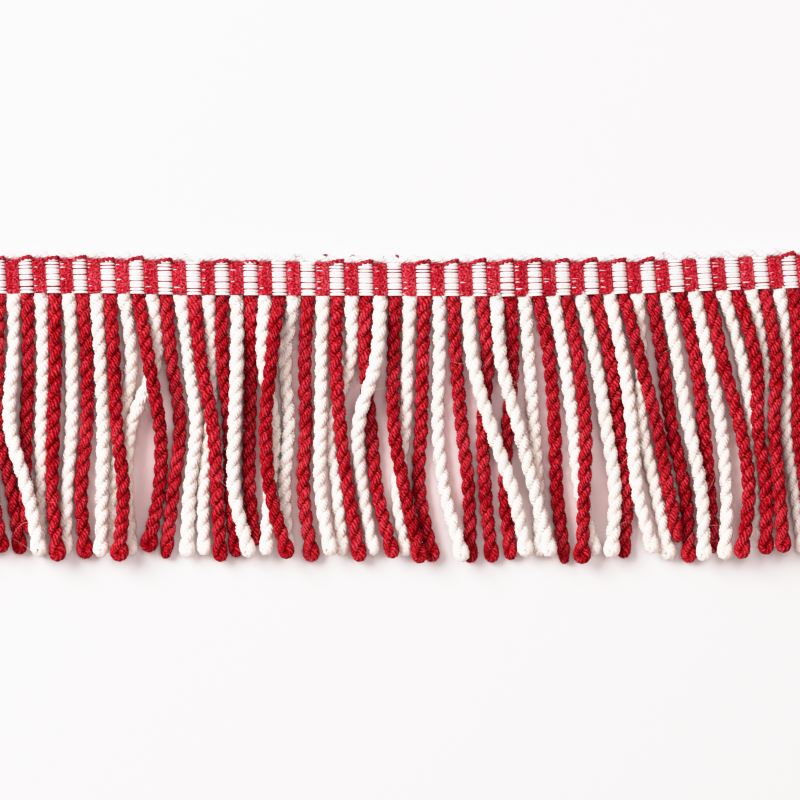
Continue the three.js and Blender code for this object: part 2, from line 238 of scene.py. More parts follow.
# Places inside a block, from -0.25 at its left edge to 0.25 at its right: the notches in white
# blocks, the slits in red ones, and where a red one gets painted light toward each edge
NOTCH_DEPTH = 0.26
NOTCH_PLACES = (0.12, 0.25)
SLIT_MIDDLES = (-0.2, -0.07)
SLIT_REACHES = (0.08, 0.2)
SLIT_CORE = 0.5  # of its reach, where it is widest
WHOLE_BLOCKS = 0.45  # share of the red blocks without a slit
PAINTED_LIGHT_TO_RIGHT = (0.02, 0.2)
PAINTED_LIGHT_TO_LEFT = (0.05, 0.2)
PAINTED_LEFT_LIGHT = 0.35

# How the weave departs from even: x, how far its blocks stand to the right of their places, and how
# far its top and its lower edge stand above theirs
WEAVE = [
    [-97, 0.5, 0.3, 0],
    [-82, 0.42, 0.27, -0.1],
    [-76, 0.12, 0.5, 0],
    [-65, -0.34, 0.52, 0.05],
    [-57, -0.34, 0.44, 0.08],
    [-46, -0.28, 0.24, 0],
    [-34, -0.18, 0.27, 0],
    [-22, -0.05, 0.27, 0],
    [-10, 0.18, 0.02, 0],
    [2, 0.4, 0, -0.06],
    [13, 0.41, 0, -0.18],
    [22, 0.18, 0.2, -0.33],
    [31, 0.05, 0.15, -0.3],
    [39, 0.05, -0.12, -0.1],
    [49, 0.08, -0.25, 0],
    [56, 0.08, -0.05, 0],
    [70, 0, -0.04, 0],
    [82, 0.1, 0, 0],
    [97, 0.1, 0, 0],
]

# The weft turns along the top edge, each of two plies
TURN_YARN = {
    "white": {"radius": 0.88, "offset": 0.14, "lay": 4.9, "singles": 5, "station": 0.5},
    "red": {"radius": 0.32, "offset": 0.27, "lay": 1.8, "singles": 4, "station": 0.3},
}
TURN_POINTS = 24  # along each pair of ribs
TURN_SIDES = 3  # of the mesh, for each single
TURN_TWIST = 0.6  # of the twist that the cords' singles would have at the same thickness
TURN_WANDER = 0.05
TURN_KNOTS = 0.34  # for each millimetre, where its course wanders
TURN_TONE = 0.6
WHITE_TURN_Y = 0.74  # above the weave's top edge
WHITE_TURN_Z = 1.6
WHITE_TURN_WAVE = 0.16
WHITE_TURN_SWELL = 0.2
WHITE_TURN_WANDER = 0.07
RED_TURN_Y = -0.4
RED_TURN_Z = 1.3
RED_TURN_SWELL = 1.45
RED_TURN_WANDER = 0.06

# How far each hump of the red weft stands above the top edge, from the left, and its outline
HUMPS = [
    0.8, 0.6, 0.8, 0.75, 0.6, 0.85, 0.5, 1.05, 0.85, 0, 0.6, 0.4, 0.2, 0, 0.85, 0.85, 0,
    0.85, 1.05, 0.95, 0.6, 0.85, 0.85, 1.25, 1.05, 1.05, 0.1, 0, 0, 0.1, 1.05, 0.8, 0.6,
]
HUMP_START = (-0.28, -0.18)
HUMP_END = (0.22, 0.27)
HUMP_LEVEL = 0.6
HUMP_SLOPE = 1.6
CLEAR_HUMP = 0.5  # a lower one comes less far out of the face

# Loose fibres
FIBRE_SIDES = 3
FIBRE_TAPER = 0.75
LOWEST_FIBRE = 0.06
STEEPEST = -0.35  # fibres that would leave their strand further downward are left out
FIBRE_ROOT = 0.93  # of the strand's radius
LENGTH_RANGE = (0.4, 1.4)
ALONG_RANGE = (0.5, 1.2)
OUTWARD_RANGE = (0.15, 0.75)
LYING_BACK = 0.3
BEND_SHARE = 0.45

# Tufts of red fibre caught on the white weft: x, y
TUFTS = [[-21.7, 4.75], [-15.5, 4.95], [-10, 4.8], [-3.8, 4.4], [-0.6, 4.85], [54.8, 5.15]]
TUFT_Z = 2.45
TUFT_FIBRES = 26
TUFT_SPREAD = (0.2, 0.1, 0.1)
TUFT_LEAN = (1, 0.6, 0.3)
TUFT_BEND = 0.3

# The paper on the floor, in metres, with a painted red reflection from the cords under the fringe
FLOOR_SIZE = 3
PAPER = (0.84, 0.84, 0.84, 1)
PAPER_PAINTED_BOUNCE = (0.85, 0.73, 0.725, 1)
PAINTED_BOUNCE_BELOW = (-0.059, -0.049)
PAINTED_BOUNCE_ABOVE = (-0.001, -0.005)
PAINTED_BOUNCE_ASIDE = (0.1, 0.092)

# Light and view, in metres
LIT_POINT = (0, -0.02, 0)
ROOM_LIGHT = (1, 0.8, 0.79, 1)
ROOM_STRENGTH = 0.4
CAMERA_HEIGHT = 0.9
CAMERA_Y = -25.14 * MM
VIEW_WIDTH = 0.16667
SENSOR_WIDTH = 36
CLIP_RANGE = (0.05, 10)
# A print's contrast: deeper shadows, and whites that ease into paper white
CONTRAST = [
    (0.03, 0.016), (0.1, 0.07), (0.2, 0.17), (0.35, 0.36), (0.5, 0.57), (0.65, 0.76), (0.8, 0.88),
    (0.95, 0.945), (1.1, 0.97), (1.4, 0.99),
]
BRIGHTEST = (2, 1)  # where the curve ends


def through(points):
    """A smooth curve through points [t, value], whose slope at each is that between its neighbours."""
    t, v = np.array(points, float).T
    last = len(t) - 1
    here = np.arange(len(t))
    before = np.maximum(here - 1, 0)
    after = np.minimum(here + 1, last)
    slope = (v[after] - v[before]) / (t[after] - t[before])

    def curve(at):
        at = np.clip(at, t[0], t[-1])
        i = np.clip(np.searchsorted(t, at, side="left") - 1, 0, last - 1)
        span = t[i + 1] - t[i]
        u = (at - t[i]) / span
        rise = 3 * u**2 - 2 * u**3
        out = u * (1 - u) ** 2 * span * slope[i]
        back = u**2 * (u - 1) * span * slope[i + 1]
        return v[i] + (v[i + 1] - v[i]) * rise + out + back

    return curve


def columns(table):
    """A smooth curve over x for each further column of a table."""
    return [through([[row[0], row[k]] for row in table]) for k in range(1, len(table[0]))]


edge_at, lean_at, root_shift_at = columns(BEND)
weave_shift_at, weave_top_at, weave_low_at = columns(WEAVE)


def smoothstep(value, low, high):
    """0 up to low, 1 from high on, and a soft rise between them."""
    u = np.clip((np.asarray(value, float) - low) / (high - low), 0, 1)
    return u * u * (3 - 2 * u)


def unit(vectors):
    return vectors / np.linalg.norm(vectors, axis=-1, keepdims=True)


def steps_of(path):
    """The distance from each point of a path to the next."""
    return np.linalg.norm(np.diff(path, axis=0), axis=1)


def from_start(steps):
    """The steps added up from the start of a path, for each of its points."""
    return np.concatenate([[0], np.cumsum(steps)])


def to_end(steps):
    """The steps that are left to the end of a path, for each of its points."""
    return np.concatenate([np.cumsum(steps[::-1])[::-1], [0]])


def windowed(values, reach, pick):
    """What pick makes of the values within reach of each one."""
    return np.array([pick(values[max(i - reach, 0) : i + reach + 1]) for i in range(len(values))])


def wobble(at, reach, per_mm):
    """A seeded wander of about plus or minus reach, with per_mm knots for each millimetre of at."""
    knots = np.arange(at[0], at[-1] + 2 / per_mm, 1 / per_mm)
    return np.interp(at, knots, rng.normal(0, reach, len(knots)))


def rib_centre(index, colour):
    """The place x of a rib of the even weave, where a cord of that colour has its leg."""
    pair = (index - (PAIRS - 1) / 2) * PAIR_PITCH
    return pair + (-1 if colour == "red" else 1) * PAIR_PITCH / 4


def in_weave(x, y):
    """The place in the heading of a point that is x along and y across its even weave."""
    high = np.clip((y - WEAVE_LOW) / (WEAVE_HIGH - WEAVE_LOW), 0, 1)
    stretch = weave_top_at(x) * high + weave_low_at(x) * (1 - high)
    return x + weave_shift_at(x) - lean_at(x) * y / HEADING_WIDTH, y + edge_at(x) + stretch


class Cord:
    """One cord's route: its place x and its radius for each depth below the heading's lower edge."""

    def __init__(self, row, index, colour):
        upper, middle, lower, tip, self.drop, self.knob, layer = row
        self.colour = colour
        self.layer = layer + (RED_OVER if colour == "red" else 0) + (index % 2) * ODD_OVER
        self.rib = rib_centre(index, colour)
        self.root_depth = float(-edge_at(self.rib))
        root_x = self.rib + root_shift_at(self.rib)
        places = [[depth, root_x + drift] for depth, drift in zip(DEPTHS, (upper, middle, lower))]
        self.place = through([[self.root_depth, root_x], *places, [self.drop, root_x + tip]])
        self.radius = through([
            [self.root_depth, ROOT_RADIUS],
            [self.root_depth + FREE_DEPTH, CORD_RADIUS],
            [self.drop - TIP_NECK, CORD_RADIUS],
            [self.drop - TIP_WIDEST, self.knob],
            [self.drop - TIP_SHOULDER, SHOULDER_SHARE * self.knob],
            [self.drop, END_SHARE * self.knob],
        ])


def settle(cords):
    """Lays every cord on the ground, or just clear of the cords under it, with long easy slopes."""
    levels = np.arange(LEVELS)
    rest = np.array([cord.radius(levels) for cord in cords])
    place = np.array([cord.place(levels) for cord in cords])
    drops = np.array([cord.drop for cord in cords])
    layers = np.array([cord.layer for cord in cords])
    heights = rest.copy()
    for _ in range(SETTLING_PASSES):
        for i in range(len(cords)):
            apart = rest[i] + rest + CLEARANCE
            aside = np.abs(place[i] - place)
            under = (layers < layers[i])[:, None] & (levels <= drops[:, None]) & (aside < apart)
            carried = heights + np.sqrt(np.maximum(apart**2 - aside**2, 0))
            needed = np.maximum(rest[i], np.where(under, carried, 0).max(axis=0))
            needed = np.where(levels > drops[i], rest[i], needed)
            raised = windowed(needed, 2 * RAMP, np.max)
            heights[i] = windowed(windowed(raised, RAMP, np.mean), RAMP, np.mean)
    for cord, height in zip(cords, heights):
        cord.settled = through(np.column_stack([levels, height]))


def height_of(cord, depth):
    """The height of the yarn's middle at each depth."""
    free = smoothstep(depth - cord.root_depth, 0, FREE_DEPTH)
    lying = np.maximum(cord.settled(depth), cord.radius(depth)) + LIFT
    return ROOT_MIDDLE + (lying - ROOT_MIDDLE) * free


def carried_frame(path):
    """Two directions across a path that turn no more about it than they must."""
    tangent = unit(np.gradient(path, axis=0))
    first = np.zeros_like(path)
    first[0] = unit(UP - tangent[0] * (UP @ tangent[0]))
    for i in range(1, len(path)):
        across = first[i - 1] - tangent[i] * (first[i - 1] @ tangent[i])
        first[i] = across / math.sqrt(across @ across)
    return first, np.cross(tangent, first)


def upright_frame(path):
    """The direction of a path, and the two across it that point sideways and up."""
    tangent = unit(np.gradient(path, axis=0))
    over = unit(UP - tangent * (tangent @ UP)[:, None])
    return tangent, np.cross(over, tangent), over


def turned(phase, side, over):
    """The direction at an angle phase from side toward over."""
    return np.cos(phase)[:, None] * side + np.sin(phase)[:, None] * over


def resampled(path, radius, spacing, close=None):
    """Even stations along a path, or closer ones where close, a share for each point, is above 0."""
    steps = steps_of(path)
    length = from_start(steps)
    density = np.ones(len(path)) if close is None else 1 + close
    weight = from_start(steps * (density[1:] + density[:-1]) / 2)
    count = max(int(round(weight[-1] / spacing)) + 1, 4)
    at = np.interp(np.linspace(0, weight[-1], count), weight, length)
    spread = np.column_stack([np.interp(at, length, path[:, k]) for k in range(3)])
    return spread, np.interp(at, length, radius), at


def tube_faces(rings, sides):
    """The four-sided faces between rings of points."""
    ring, side = np.meshgrid(np.arange(rings - 1), np.arange(sides), indexing="ij")
    after = (side + 1) % sides
    a = ring * sides + side
    b = ring * sides + after
    return np.stack([a, b, b + sides, a + sides], axis=-1).reshape(-1, 4)


def tube_uv(length, sides, around=1.0, shift=0.0):
    """The place of each face corner around and along its strand."""
    ring, side = np.meshgrid(np.arange(len(length) - 1), np.arange(sides), indexing="ij")
    u0, u1 = (side + shift) * around / sides, (side + 1 + shift) * around / sides
    v0, v1 = length[ring], length[ring + 1]
    corners = np.stack([u0, v0, u1, v0, u1, v1, u0, v1], axis=-1)
    return corners.reshape(-1, 4, 2)


def plain_tube(ring, along, tone):
    """A strand without ridges, from its rings of points."""
    rings, sides, _ = ring.shape
    return {
        "points": ring.reshape(-1, 3),
        "faces": tube_faces(rings, sides),
        "uv": tube_uv(along, sides),
        "tone": np.repeat(np.broadcast_to(tone, rings), sides),
        "valley": np.zeros(rings * sides, bool),
    }


def yarn_tube(path, radius, station, singles, per_single, twist, tone, wander, close=None, axis=None,
              squeeze=1.0):
    """A strand with a ridge for each single, closed to a point at both ends."""
    path, radius, length = resampled(path, radius, station, close)
    radius = radius * (1 + wobble(length, wander, per_mm=0.5))
    first, second = carried_frame(path)
    sides = singles * per_single
    shift = (per_single % 2) / 2
    side = np.arange(sides)
    turn = twist * length + np.cumsum(wobble(length, TURN_STRAY, per_mm=0.7))
    angle = FULL_TURN * side[None, :] / sides - turn[:, None] + rng.uniform(0, MOST_TURNED)
    valley = 1 - np.abs(np.cos(math.pi * (side + shift) / per_single))
    valley = (valley - valley.min()) / (valley.max() - valley.min())
    change = np.clip(wobble(length, RIDGE_WANDER, per_mm=1), -RIDGE_WANDER_LIMIT, RIDGE_WANDER_LIMIT)
    depth = RIDGE_DEPTH * (1 + change)
    reach = radius[:, None] * (1 - depth[:, None] * valley[None, :])
    outward = (
        np.cos(angle)[..., None] * first[:, None, :]
        + np.sin(angle)[..., None] * second[:, None, :]
    )
    inward = np.zeros(reach.shape)
    if axis is not None:
        # How far each point faces the axis that the plies turn about, where the ply is flattened
        middle = np.column_stack([np.interp(length, axis[0], axis[1][:, k]) for k in range(3)])
        toward = middle - path
        toward = toward / np.maximum(np.linalg.norm(toward, axis=1, keepdims=True), NEAR_AXIS)
        inward = np.einsum("ijk,ik->ij", outward, toward)
        reach = reach / np.sqrt((inward / squeeze) ** 2 + 1 - inward**2)
    ring = path[:, None, :] + reach[..., None] * outward
    ring[0] = path[0]
    ring[-1] = path[-1]
    points = ring.reshape(-1, 3)
    return {
        "points": points,
        "faces": tube_faces(len(path), sides),
        "uv": tube_uv(length, sides, singles, shift),
        "tone": np.full(len(points), tone),
        "inward": inward.ravel(),
        "valley": np.tile(valley > SHARP_VALLEY, len(path)),
        "path": path,
        "radius": radius,
    }


def cord_strand(cord):
    """The one yarn of a cord: down as the first ply, round the loop at the tip, and back up."""
    tip_radius = TIP_SHARE[cord.colour] * cord.knob
    squeeze = PLY_SQUEEZE[cord.colour]
    tip_offset = cord.knob - squeeze * tip_radius
    end = cord.drop - cord.knob
    depth = np.linspace(cord.root_depth - ROOT_INSIDE, end, CORD_POINTS)
    centre = np.column_stack([cord.place(depth), LOWER_EDGE - depth, height_of(cord, depth)])
    tangent, right, over = upright_frame(centre)

    below = depth - cord.root_depth
    rooted = 1 - smoothstep(below, 0, FREE_DEPTH)
    neck = ROOT_NECK + (1 - ROOT_NECK) * smoothstep(below, -ROOT_INSIDE, ROOT_NECK_END)
    tipped = smoothstep(depth, cord.drop - TIP_NECK, end)
    full = PLY_RADIUS[cord.colour] * (1 + (ROOT_FULLNESS[cord.colour] - 1) * rooted) * neck
    apart = PLY_OFFSET[cord.colour] * (1 + (ROOT_CLOSENESS - 1) * rooted) * neck
    radius = full + (tip_radius - full) * tipped
    offset = apart + (tip_offset - apart) * tipped

    # The twist eases off just above the loop
    lay = LAY * rng.uniform(*LAY_RANGE)
    steps = steps_of(centre)
    eased = smoothstep(to_end(steps), *TWIST_STARTS)
    rate = FULL_TURN / lay * eased * (1 + wobble(depth, LAY_WANDER, per_mm=0.3))
    loop_phase = np.interp(cord.knob, LOOP_KNOBS, LOOP_PHASES) + rng.uniform(-LOOP_STRAY, LOOP_STRAY)
    aside = turned(loop_phase - to_end(rate[1:] * steps), right, over)

    down = centre + offset[:, None] * aside
    back = centre - offset[:, None] * aside
    round_tip = np.linspace(0, math.pi, LOOP_POINTS)[1:-1]
    loop = (
        centre[-1]
        + tip_offset * np.cos(round_tip)[:, None] * aside[-1]
        + tip_offset * np.sin(round_tip)[:, None] * tangent[-1]
    )
    path = np.concatenate([down, loop, back[::-1]])
    middle = np.concatenate([centre, np.tile(centre[-1], (len(loop), 1)), centre[::-1]])
    radii = np.concatenate([radius, np.full(len(loop), tip_radius), radius[::-1]])
    near_tip = smoothstep(depth, end - CLOSER_FROM, end) * CLOSER_BY
    closer = np.concatenate([near_tip, np.full(len(loop), CLOSER_BY), near_tip[::-1]])
    strand = yarn_tube(
        path, radii, STATION[cord.colour],
        singles=int(rng.choice(SINGLES)),
        per_single=SIDES_PER_SINGLE[cord.colour],
        twist=SINGLES_TWIST * rng.uniform(*SINGLES_TWIST_RANGE),
        tone=rng.uniform(0, 1),
        wander=CORD_WANDER,
        close=closer,
        axis=(from_start(steps_of(path)), middle),
        squeeze=squeeze,
    )
    strand["points"][:, 2] = np.maximum(strand["points"][:, 2], LOWEST_YARN)
    return strand


def squared(wave, roundness):
    """A wave that stays longer near its ends the further its roundness is below 1."""
    return np.sign(wave) * np.abs(wave) ** roundness


def leg(cord):
    """The cord's leg inside the heading, where it is the weft."""
    y = np.linspace(WEAVE_LOW + LEG_START, WEAVE_HIGH + LEG_END, LEG_RINGS)
    x = np.full(LEG_RINGS, cord.rib)
    path = np.column_stack([*in_weave(x, y), np.full(LEG_RINGS, LEG_HEIGHT)])
    angle = FULL_TURN * np.arange(LEG_SIDES) / LEG_SIDES
    ring = path[:, None, :] + np.stack([
        -LEG_HALF_WIDTH * squared(np.cos(angle), LEG_ROUNDNESS),
        np.zeros(LEG_SIDES),
        LEG_HALF_HEIGHT * squared(np.sin(angle), LEG_ROUNDNESS),
    ], axis=-1)[None]
    ring[0] = path[0]
    ring[-1] = path[-1]
    return plain_tube(ring, y - y[0], LEG_TONE)


def flattened(wave):
    """A wave with flatter tops."""
    return wave * (1.5 - 0.5 * wave**2)


def block_share(x, colour):
    """Where x lies in the blocks of a colour: 0 in the middle of one, from -0.25 to 0.25 across it."""
    # White warp lies over the legs of the red cords, and the other way about
    over = rib_centre(0, "red" if colour == "white" else "white")
    along = (x - over) / PAIR_PITCH
    return (along + 0.5) % 1 - 0.5, np.clip(np.floor(along + 0.5).astype(int), 0, PAIRS)


def row_gaps(x, widest, colour):
    """The gap between two rows of warp, with notches in white blocks and slits in some red ones."""
    share, block = block_share(x, colour)
    strength = rng.uniform(0, 1, PAIRS + 1)[block]
    opening = (widest + ROW_OVERLAP) * (widest > 0)
    if colour == "white":
        notch = NOTCH_DEPTH * smoothstep(np.abs(share), *NOTCH_PLACES)
        return notch + opening * (0.5 + 0.5 * strength) - ROW_OVERLAP
    middle = rng.uniform(*SLIT_MIDDLES, PAIRS + 1)[block]
    reach = rng.uniform(*SLIT_REACHES, PAIRS + 1)[block]
    slit = 1 - smoothstep(np.abs(share - middle), reach * SLIT_CORE, reach)
    return opening * slit * (strength > WHOLE_BLOCKS) - ROW_OVERLAP


def warp_thread(x, high, low, colour):
    """A warp thread: over the ribs of its own blocks and under the others."""
    share, block = block_share(x, colour)
    wave = flattened(np.cos(FULL_TURN * share))
    if colour == "white":
        wave = flattened(wave)
        tone = rng.uniform(0, 1)
    else:
        # Painted light toward each edge of a red block, strongest at its right, carried as its tone
        painted_light_right = smoothstep(share, *PAINTED_LIGHT_TO_RIGHT)
        tone = painted_light_right + PAINTED_LEFT_LIGHT * smoothstep(-share, *PAINTED_LIGHT_TO_LEFT)
    path = np.column_stack([*in_weave(x, (high + low) / 2), LEG_HEIGHT + WARP_SWING * wave])
    tangent = unit(np.gradient(path, axis=0))
    across = unit(np.array([0, 1.0, 0]) - tangent * tangent[:, 1:2])
    normal = np.cross(tangent, across)
    angle = FULL_TURN * (np.arange(WARP_SIDES) + 0.5) / WARP_SIDES
    rise = squared(np.sin(angle), WARP_ROUNDNESS)
    ring = (
        path[:, None, :]
        + ((high - low) / 2)[:, None, None] * np.cos(angle)[None, :, None] * across[:, None, :]
        + WARP_THICKNESS * rise[None, :, None] * normal[:, None, :]
    )
    thread = plain_tube(ring, x - x[0], tone)
    count = len(thread["points"])
    thread["caps"] = [list(range(WARP_SIDES))[::-1], list(range(count - WARP_SIDES, count))]
    return thread


def warp(colour, rows):
    """All warp threads of a colour, each between two of the boundaries in rows."""
    x = np.linspace(-LENGTH / 2, LENGTH / 2, PAIRS * WARP_STATIONS + 1)
    middles, gaps = [], []
    for share, widest in rows:
        outer = share in (0, 1)
        wander = wobble(x, OUTER_ROW_WANDER if outer else ROW_WANDER, per_mm=0.5)
        middles.append(WEAVE_HIGH - share * (WEAVE_HIGH - WEAVE_LOW) + wander)
        gaps.append(np.zeros(len(x)) if outer else row_gaps(x, widest, colour))
    return [
        warp_thread(x, middles[i] - gaps[i] / 2, middles[i + 1] + gaps[i + 1] / 2, colour)
        for i in range(len(rows) - 1)
    ]


def turn_yarn(colour):
    """The weft yarn along the top edge, two plies twisted together."""
    x = np.linspace(-LENGTH / 2, LENGTH / 2, PAIRS * TURN_POINTS + 1)
    if colour == "white":
        wave = np.cos(FULL_TURN * (x - rib_centre(0, "white")) / PAIR_PITCH)
        wander = wobble(x, WHITE_TURN_WANDER, TURN_KNOTS)
        y = WEAVE_HIGH + WHITE_TURN_Y + WHITE_TURN_WAVE * wave + wander
        z = WHITE_TURN_Z + WHITE_TURN_SWELL * wave
    else:
        # Over each white block it comes out of the heading low on the left and rises to the right
        share, block = block_share(x, "white")
        height = np.array(HUMPS)[np.minimum(block, PAIRS - 1)]
        out = smoothstep(share, *HUMP_START) * (1 - smoothstep(share, *HUMP_END))
        rise = out * height * (HUMP_LEVEL + HUMP_SLOPE * share)
        y = WEAVE_HIGH + RED_TURN_Y + rise + wobble(x, RED_TURN_WANDER, TURN_KNOTS)
        z = RED_TURN_Z + RED_TURN_SWELL * out * smoothstep(height, 0, CLEAR_HUMP)
    yarn = TURN_YARN[colour]
    centre = np.column_stack([*in_weave(x, y), z])
    _, side, over = upright_frame(centre)
    phase = FULL_TURN * from_start(steps_of(centre)) / yarn["lay"]
    aside = turned(phase, side, over)
    radii = np.full(len(x), yarn["radius"])
    twist = SINGLES_TWIST * PLY_RADIUS["red"] / yarn["radius"] * TURN_TWIST
    return [
        yarn_tube(
            centre + sign * yarn["offset"] * aside, radii, yarn["station"], yarn["singles"],
            per_single=TURN_SIDES, twist=twist, tone=TURN_TONE, wander=TURN_WANDER,
        )
        for sign in (1, -1)
    ]


def fibre(start, heading, bend, size, radius, tone, rings=4):
    """One fibre that leaves start along heading and bends over its length."""
    t = np.linspace(0, 1, rings)[:, None]
    line = start + heading * size * t + bend * size * t**2
    line[:, 2] = np.maximum(line[:, 2], LOWEST_FIBRE)
    first, second = carried_frame(line)
    turn = FULL_TURN * np.arange(FIBRE_SIDES) / FIBRE_SIDES
    thin = radius * (1 - FIBRE_TAPER * t)
    ring = (
        line[:, None, :]
        + (thin * np.cos(turn))[..., None] * first[:, None, :]
        + (thin * np.sin(turn))[..., None] * second[:, None, :]
    )
    return plain_tube(ring, t[:, 0] * size, tone)


def fibres(strands, per_strand, reach, radius, tone, curl=0.5, rings=4):
    """Loose fibres that stand away from strands."""
    pieces = []
    for strand in strands:
        path, thick = strand["path"], strand["radius"]
        first, second = carried_frame(path)
        tangent = unit(np.gradient(path, axis=0))
        for i in rng.integers(2, len(path) - 2, rng.poisson(per_strand)):
            angle = rng.uniform(0, FULL_TURN)
            out = math.cos(angle) * first[i] + math.sin(angle) * second[i]
            if out[2] < STEEPEST:
                continue
            size = reach * rng.uniform(*LENGTH_RANGE)
            along = tangent[i] * rng.choice([-1, 1]) * rng.uniform(*ALONG_RANGE)
            heading = unit(along + out * rng.uniform(*OUTWARD_RANGE))
            bend = (rng.normal(0, curl, 3) - out * LYING_BACK) * BEND_SHARE
            start = path[i] + out * thick[i] * FIBRE_ROOT
            pieces.append(fibre(start, heading, bend, size, radius, tone, rings))
    return pieces


def tufts(places):
    """Small tufts of fibre that lie on the weft turns."""
    pieces = []
    for place in places:
        for _ in range(TUFT_FIBRES):
            start = np.array([*place, TUFT_Z]) + rng.normal(0, 1, 3) * TUFT_SPREAD
            heading = unit(rng.normal(0, 1, 3) * TUFT_LEAN)
            bend = rng.normal(0, TUFT_BEND, 3)
            pieces.append(fibre(start, heading, bend, size=0.4, radius=0.06, tone=1.0))
    return pieces


def add_piece(name, parts, material, node):
    """One mesh object from many parts, in metres, which stands for a node of the frame."""
    points = np.concatenate([part["points"] for part in parts]) * MM
    starts = np.cumsum([0] + [len(part["points"]) for part in parts])
    quads = np.concatenate([part["faces"] + start for part, start in zip(parts, starts)])
    uv = np.concatenate([part["uv"] for part in parts]).reshape(-1, 2)
    caps = [
        [index + start for index in cap]
        for part, start in zip(parts, starts)
        for cap in part.get("caps", [])
    ]
    loops = np.concatenate([quads.ravel(), np.array([i for cap in caps for i in cap], int)])
    sizes = np.concatenate([np.full(len(quads), 4), np.array([len(cap) for cap in caps], int)])
    uv = np.concatenate([uv, np.zeros((len(loops) - len(uv), 2))])

    mesh = bpy.data.meshes.new(name)
    mesh.vertices.add(len(points))
    mesh.loops.add(len(loops))
    mesh.polygons.add(len(sizes))
    mesh.vertices.foreach_set("co", points.astype(np.float32).ravel())
    mesh.loops.foreach_set("vertex_index", loops.astype(np.int32))
    loop_starts = np.concatenate([[0], np.cumsum(sizes)[:-1]])
    mesh.polygons.foreach_set("loop_start", loop_starts.astype(np.int32))
    layer = mesh.uv_layers.new(name="yarn")
    layer.data.foreach_set("uv", uv.astype(np.float32).ravel())
    for key in ("tone", "inward"):
        values = np.concatenate([part.get(key, np.zeros(len(part["points"]))) for part in parts])
        attribute = mesh.attributes.new(key, "FLOAT", "POINT")
        attribute.data.foreach_set("value", values.astype(np.float32))
    mesh.update(calc_edges=True)
    mesh.polygons.foreach_set("use_smooth", np.ones(len(sizes), bool))

    # The valleys between singles stay crisp
    valley = np.concatenate([part["valley"] for part in parts])
    ends = np.zeros(len(mesh.edges) * 2, np.int32)
    mesh.edges.foreach_get("vertices", ends)
    ends = ends.reshape(-1, 2)
    mesh.edges.foreach_set("use_edge_sharp", valley[ends[:, 0]] & valley[ends[:, 1]])
    mesh.update()

    piece = bpy.data.objects.new(name, mesh)
    bpy.context.scene.collection.objects.link(piece)
    mesh.materials.append(material)
    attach(piece, "root")
    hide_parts(node)


class Nodes:
    """Shorthand for building a material's nodes."""

    def __init__(self, name):
        self.material = bpy.data.materials.new(name)
        self.material.use_nodes = True
        self.tree = self.material.node_tree
        self.tree.nodes.clear()
        output = self.tree.nodes.new("ShaderNodeOutputMaterial")
        self.shader = self.tree.nodes.new("ShaderNodeBsdfPrincipled")
        self.link(self.shader.outputs["BSDF"], output.inputs["Surface"])

    def link(self, source, target):
        self.tree.links.new(source, target)

    def feed(self, socket, value):
        if isinstance(value, bpy.types.NodeSocket):
            self.link(value, socket)
        else:
            socket.default_value = value

    def math(self, operation, first, second=0.0):
        node = self.tree.nodes.new("ShaderNodeMath")
        node.operation = operation
        self.feed(node.inputs[0], first)
        self.feed(node.inputs[1], second)
        return node.outputs[0]

    def mix(self, share, first, second):
        node = self.tree.nodes.new("ShaderNodeMix")
        node.data_type = "RGBA"
        self.feed(node.inputs["Factor"], share)
        self.feed(node.inputs[6], first)
        self.feed(node.inputs[7], second)
        return node.outputs[2]

    def noise(self, vector, scale, detail):
        """Noise whose usual values run from 0 to 1."""
        node = self.tree.nodes.new("ShaderNodeTexNoise")
        self.feed(node.inputs["Vector"], vector)
        node.inputs["Scale"].default_value = scale
        node.inputs["Detail"].default_value = detail
        return self.ramp(node.outputs["Fac"], 0.3, 0.7)

    def attribute(self, name):
        node = self.tree.nodes.new("ShaderNodeAttribute")
        node.attribute_name = name
        return node.outputs["Fac"]

    def ramp(self, value, low, high):
        """0 up to low, 1 from high on, and a straight rise between them."""
        node = self.tree.nodes.new("ShaderNodeMapRange")
        self.feed(node.inputs["Value"], value)
        node.inputs["From Min"].default_value = low
        node.inputs["From Max"].default_value = high
        return node.outputs["Result"]

    def combine(self, x, y):
        node = self.tree.nodes.new("ShaderNodeCombineXYZ")
        self.feed(node.inputs[0], x)
        self.feed(node.inputs[1], y)
        return node.outputs[0]

    def place(self):
        """The place on the object, in metres."""
        return self.tree.nodes.new("ShaderNodeTexCoord").outputs["Object"]

    def split(self, vector):
        """The first two values of a vector."""
        node = self.tree.nodes.new("ShaderNodeSeparateXYZ")
        self.link(vector, node.inputs[0])
        return node.outputs[0], node.outputs[1]


